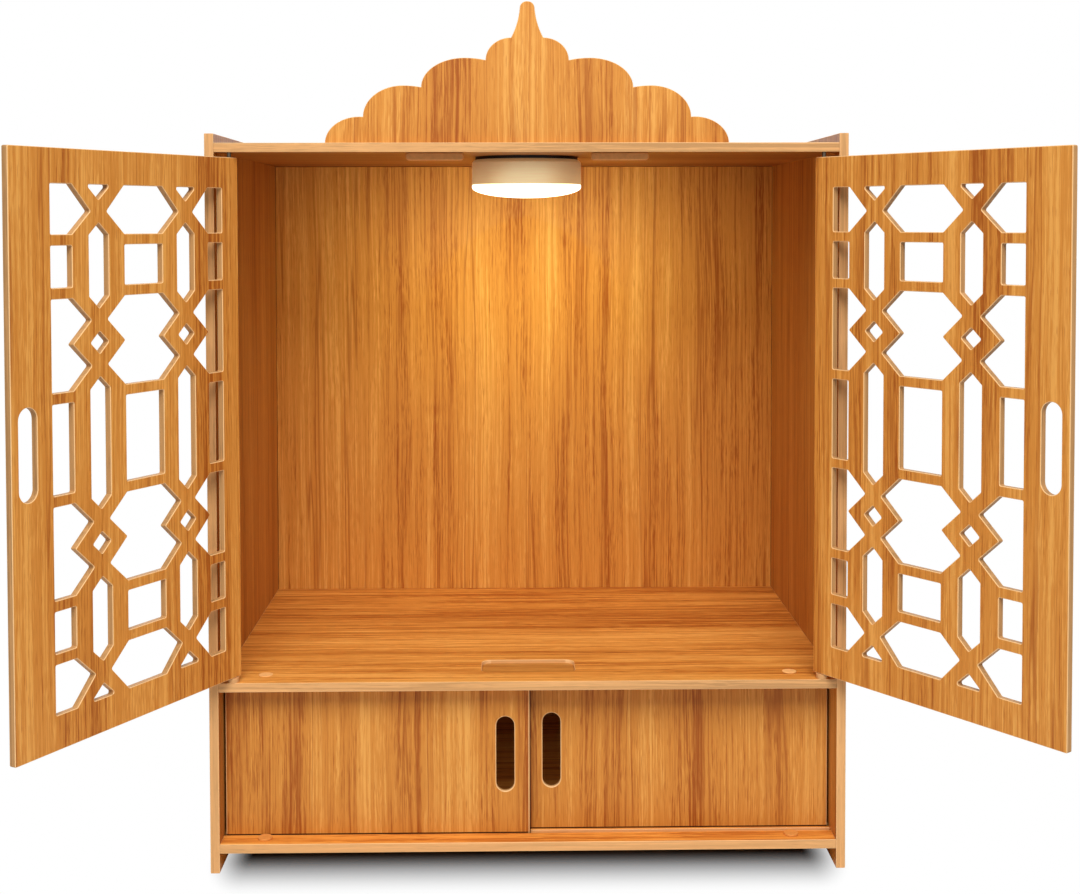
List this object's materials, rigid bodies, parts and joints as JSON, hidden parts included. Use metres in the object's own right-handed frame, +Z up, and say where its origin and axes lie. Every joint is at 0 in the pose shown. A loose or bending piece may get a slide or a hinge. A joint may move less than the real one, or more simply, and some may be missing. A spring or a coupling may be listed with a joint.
{
  "type": "pooja mandir",
  "caption": "Free-standing wooden home shrine cabinet with pierced lattice doors, a scalloped crown, a lamp, a shelf and storage behind sliding doors.",
  "frame": {"origin": "middle of the back panel's foot, on the floor", "axes": "+Z up, the front faces -Y, +X to the right as seen from the front"},
  "size_m": [0.8731, 0.6475, 0.8473],
  "materials": {
    "teak_board": "satin teak laminate with a vertical grain",
    "teak_shelf": "satin teak laminate with the grain along the width",
    "cream_cover": "matte",
    "brown_cover": "matte",
    "pin_steel": "zinc plated",
    "washer_plastic": "matte",
    "lamp_black": "matte black",
    "lamp_metal": "satin champagne",
    "lamp_white": "opal diffuser"
  },
  "bodies": {
    "cabinet": {"side_panel_left": "teak_board", "side_panel_right": "teak_board", "back_panel": "teak_board", "top_board": "teak_shelf", "shelf_board": "teak_shelf", "bottom_board": "teak_shelf", "crown_board": "teak_board", "pivot_pin_left_lower": "pin_steel", "pivot_pin_left_upper": "pin_steel", "pivot_pin_right_lower": "pin_steel", "pivot_pin_right_upper": "pin_steel", "pivot_washer_left": "washer_plastic", "pivot_washer_right": "washer_plastic", "door_catch_left": "teak_shelf", "door_catch_right": "teak_shelf", "shelf_cover_left": "cream_cover", "shelf_cover_right": "cream_cover", "bottom_cover_left": "brown_cover", "bottom_cover_right": "brown_cover", "lamp_mount_plate": "lamp_black", "lamp_body": "lamp_metal", "lamp_diffuser": "lamp_white"},
    "left_lattice_door": {"lattice_door_left": "teak_board"},
    "right_lattice_door": {"lattice_door_right": "teak_board"},
    "left_sliding_door": {"sliding_door_left": "teak_board"},
    "right_sliding_door": {"sliding_door_right": "teak_board"}
  },
  "joints": [
    {"name": "left_door_pivot", "type": "hinge", "parent": "cabinet", "child": "left_lattice_door", "pos_m": [-0.287, -0.3905, 0.444], "axis": [0, 0, -1], "range_deg": [-118.1, 7.4]},
    {"name": "right_door_pivot", "type": "hinge", "parent": "cabinet", "child": "right_lattice_door", "pos_m": [0.287, -0.3905, 0.444], "axis": [0, 0, 1], "range_deg": [-124.1, 1.4]},
    {"name": "left_slider_travel", "type": "slide", "parent": "cabinet", "child": "left_sliding_door", "axis": [1, 0, 0], "range_m": [0, 0.294]},
    {"name": "right_slider_travel", "type": "slide", "parent": "cabinet", "child": "right_sliding_door", "axis": [-1, 0, 0], "range_m": [0, 0.294]}
  ]
}
